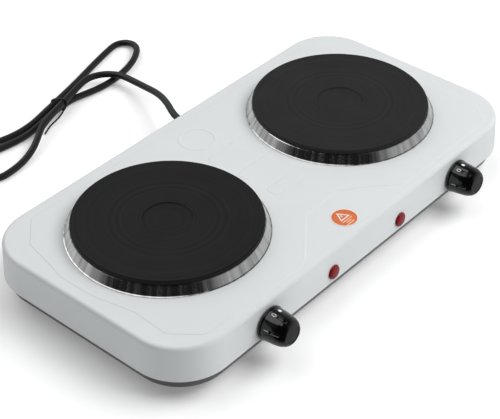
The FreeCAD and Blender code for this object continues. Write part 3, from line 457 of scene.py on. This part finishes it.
def wrapped(name, flat, place, angle, height):
    """Wraps a flat mesh, drawn in millimetres, on the knob's side: its X runs round, its Y to the wall."""
    mesh = bmesh.new()
    mesh.from_mesh(flat)
    bmesh.ops.triangulate(mesh, faces=mesh.faces[:])
    bmesh.ops.subdivide_edges(mesh, edges=mesh.edges[:], cuts=2, use_grid_fill=True)
    for vertex in mesh.verts:
        out = height - vertex.co.y
        radius = knob_radius_at(out) + PRINT_LIFT
        vertex.co = place @ polar(radius, angle - vertex.co.x / radius, out)
    data = bpy.data.meshes.new(name)
    mesh.to_mesh(data)
    mesh.free()
    piece = bpy.data.objects.new(name, data)
    bpy.context.scene.collection.objects.link(piece)
    return piece


def numeral(text):
    """A digit as a flat mesh, centred, in millimetres."""
    data = bpy.data.curves.new("digit", "FONT")
    data.body = text
    data.size = NUMERAL_SIZE
    data.align_x = "CENTER"
    data.align_y = "CENTER"
    data.offset = -0.08
    data.resolution_u = 4
    holder = bpy.data.objects.new("digit", data)
    bpy.context.scene.collection.objects.link(holder)
    flat = bpy.data.meshes.new_from_object(holder)
    bpy.data.objects.remove(holder)
    return flat


def dot():
    """The pointer's oval dot as a flat mesh, in millimetres."""
    mesh = bmesh.new()
    bmesh.ops.create_circle(mesh, cap_ends=True, segments=32, radius=DOT_RADIUS)
    bmesh.ops.scale(mesh, vec=(1, DOT_STRETCH, 1), verts=mesh.verts)
    data = bpy.data.meshes.new("dot")
    mesh.to_mesh(data)
    mesh.free()
    return data


for joint in frame["joints"]:
    side = joint["name"].split("_")[0]
    body = joint["child"]
    place = knob_place(joint)
    start = KNOB_START[side]
    profile = resample(rounded(KNOB_OUTER, CORNER_REACH), KNOB_FINENESS)
    knob = lathe(f"{side}_knob_moulding", profile, place, KNOB_SEGMENTS, slots(start))
    outlined(knob)
    paint(knob, FINISHES["knob_plastic"])
    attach(knob, body)
    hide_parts(f"{side}_knob")
    marks = []
    for number in NUMERALS:
        angle = math.radians(start + STEP * number)
        marks.append(wrapped(f"{side}_numeral_{number}", numeral(str(number)), place, angle, NUMERAL_HEIGHT))
    marks.append(wrapped(f"{side}_pointer_dot", dot(), place, math.radians(start - STEP / 2), DOT_HEIGHT))
    for mark in marks:
        paint(mark, PRINT_WHITE)
        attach(mark, body)


# ---------------------------------------------------------------- label

low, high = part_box("warning_sticker")
LABEL_MIDDLE = Vector(((low.x + high.x) / 2, (low.y + high.y) / 2, high.z))
# The printing, in millimetres from the label's middle.
PRINT_LEVELS = (0.01, 0.05)
RIM_RADIUS = 10.85
TRIANGLE = [(-5.0, -0.9), (4.6, -0.9), (-0.2, 7.3)]
STROKE = [(-0.2, 4.0), (-0.2, 1.7)]
BARS = [(-6.6, 5.6, -3.4), (-4.1, 2.0, -5.6), (-6.3, 3.1, -7.9)]    # left end, right end, height


def print_strip(name, corners, width, material, closed=True):
    """A printed line of this width along corners in millimetres from the label's middle."""
    count = len(corners)
    vertices = []
    faces = []
    for number, corner in enumerate(corners):
        corner = Vector(corner)
        before = Vector(corners[(number - 1) % count]) if closed or number else corner
        after = Vector(corners[(number + 1) % count]) if closed or number < count - 1 else corner
        first = (corner - before).normalized() if corner != before else (after - corner).normalized()
        second = (after - corner).normalized() if corner != after else first
        square = Vector((-first.y, first.x))
        across = (square + Vector((-second.y, second.x))).normalized()
        across *= width / 2 / max(0.3, across.dot(square))
        for level in PRINT_LEVELS:
            for way in (-1, 1):
                spot = corner + across * way
                vertices.append(LABEL_MIDDLE + Vector((spot.x, spot.y, level)) * MM)
    for number in range(count if closed else count - 1):
        a = number * 4
        b = (number + 1) % count * 4
        faces += [(a + 2, a + 3, b + 3, b + 2), (a, b, b + 1, a + 1)]
        faces += [(a, a + 2, b + 2, b), (a + 1, b + 1, b + 3, a + 3)]
    if not closed:
        end = (count - 1) * 4
        faces += [(0, 1, 3, 2), (end, end + 2, end + 3, end + 1)]
    piece = mesh_object(name, vertices, faces, smooth=False)
    paint(piece, material)
    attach(piece, "case")


rim_angles = [math.radians(3 * number) for number in range(120)]
rim_corners = [(RIM_RADIUS * math.cos(angle), RIM_RADIUS * math.sin(angle)) for angle in rim_angles]
print_strip("label_rim", rim_corners, width=0.6, material=PRINT_WHITE)
print_strip("label_triangle", TRIANGLE, width=1.0, material=PRINT_WHITE)
print_strip("label_stroke", STROKE, width=0.9, material=PRINT_WHITE, closed=False)
for number, (from_x, to_x, level) in enumerate(BARS):
    ends = [(from_x, level), (to_x, level)]
    print_strip(f"label_bar_{number}", ends, width=0.8, material=PRINT_PALE, closed=False)


# ---------------------------------------------------------------- floor and light

FLOOR_HALF = 6          # metres
FLOOR_DROP = 0.0002     # the floor lies this far below the feet

floor_corners = [(x * FLOOR_HALF, y * FLOOR_HALF, 0) for x, y in [(-1, -1), (1, -1), (1, 1), (-1, 1)]]
floor = mesh_object("floor", floor_corners, [(0, 1, 2, 3)])
floor.location.z = -FLOOR_DROP
paint(floor, finish("floor_white", (0.93, 0.93, 0.93), 0.9, mottle=0.004, patch=2, grain=60, depth=0.0,
                    Emission_Color=(1, 1, 1, 1), Emission_Strength=0.2))
floor.visible_glossy = False


def panel(name, azimuth, elevation, distance, width, height, power):
    """A soft rectangular light that faces the object."""
    light = bpy.data.lights.new(name, "AREA")
    light.shape = "RECTANGLE"
    light.size = width
    light.size_y = height
    light.energy = power
    holder = bpy.data.objects.new(name, light)
    way = back_of(azimuth, elevation)
    holder.location = way * distance
    holder.rotation_euler = way.to_track_quat("Z", "Y").to_euler()
    bpy.context.scene.collection.objects.link(holder)
    return holder


panel("back_box", azimuth=-165, elevation=60, distance=1.8, width=1.9, height=1.9, power=16)
front_box = panel("front_box", azimuth=38, elevation=53, distance=1.9, width=1.5, height=1.1, power=30)
front_box.visible_glossy = False

# The surroundings are darker overhead and towards the near left, which keeps reflections there dark.
world = bpy.data.worlds.new("studio")
world.use_nodes = True
sky = world.node_tree
direction = add(sky, "ShaderNodeTexCoord").outputs["Generated"]
height = add(sky, "ShaderNodeSeparateXYZ", {"Vector": direction}).outputs["Z"]
near_left = add(sky, "ShaderNodeVectorMath", {0: direction, 1: back_of(-60, 8)}, operation="DOT_PRODUCT")
from_above = ranged(sky, height, 0.35, 0.85, 0.5, 0.05)
from_side = ranged(sky, near_left.outputs["Value"], 0.3, 0.66, 1.0, 0.04)
glow = calculate(sky, "MULTIPLY", from_above, from_side)
sky.links.new(glow, sky.nodes["Background"].inputs["Strength"])
sky.nodes["Background"].inputs["Color"].default_value = (0.97, 0.98, 1.0, 1)
bpy.context.scene.world = world
bpy.context.scene.view_settings.view_transform = "Standard"
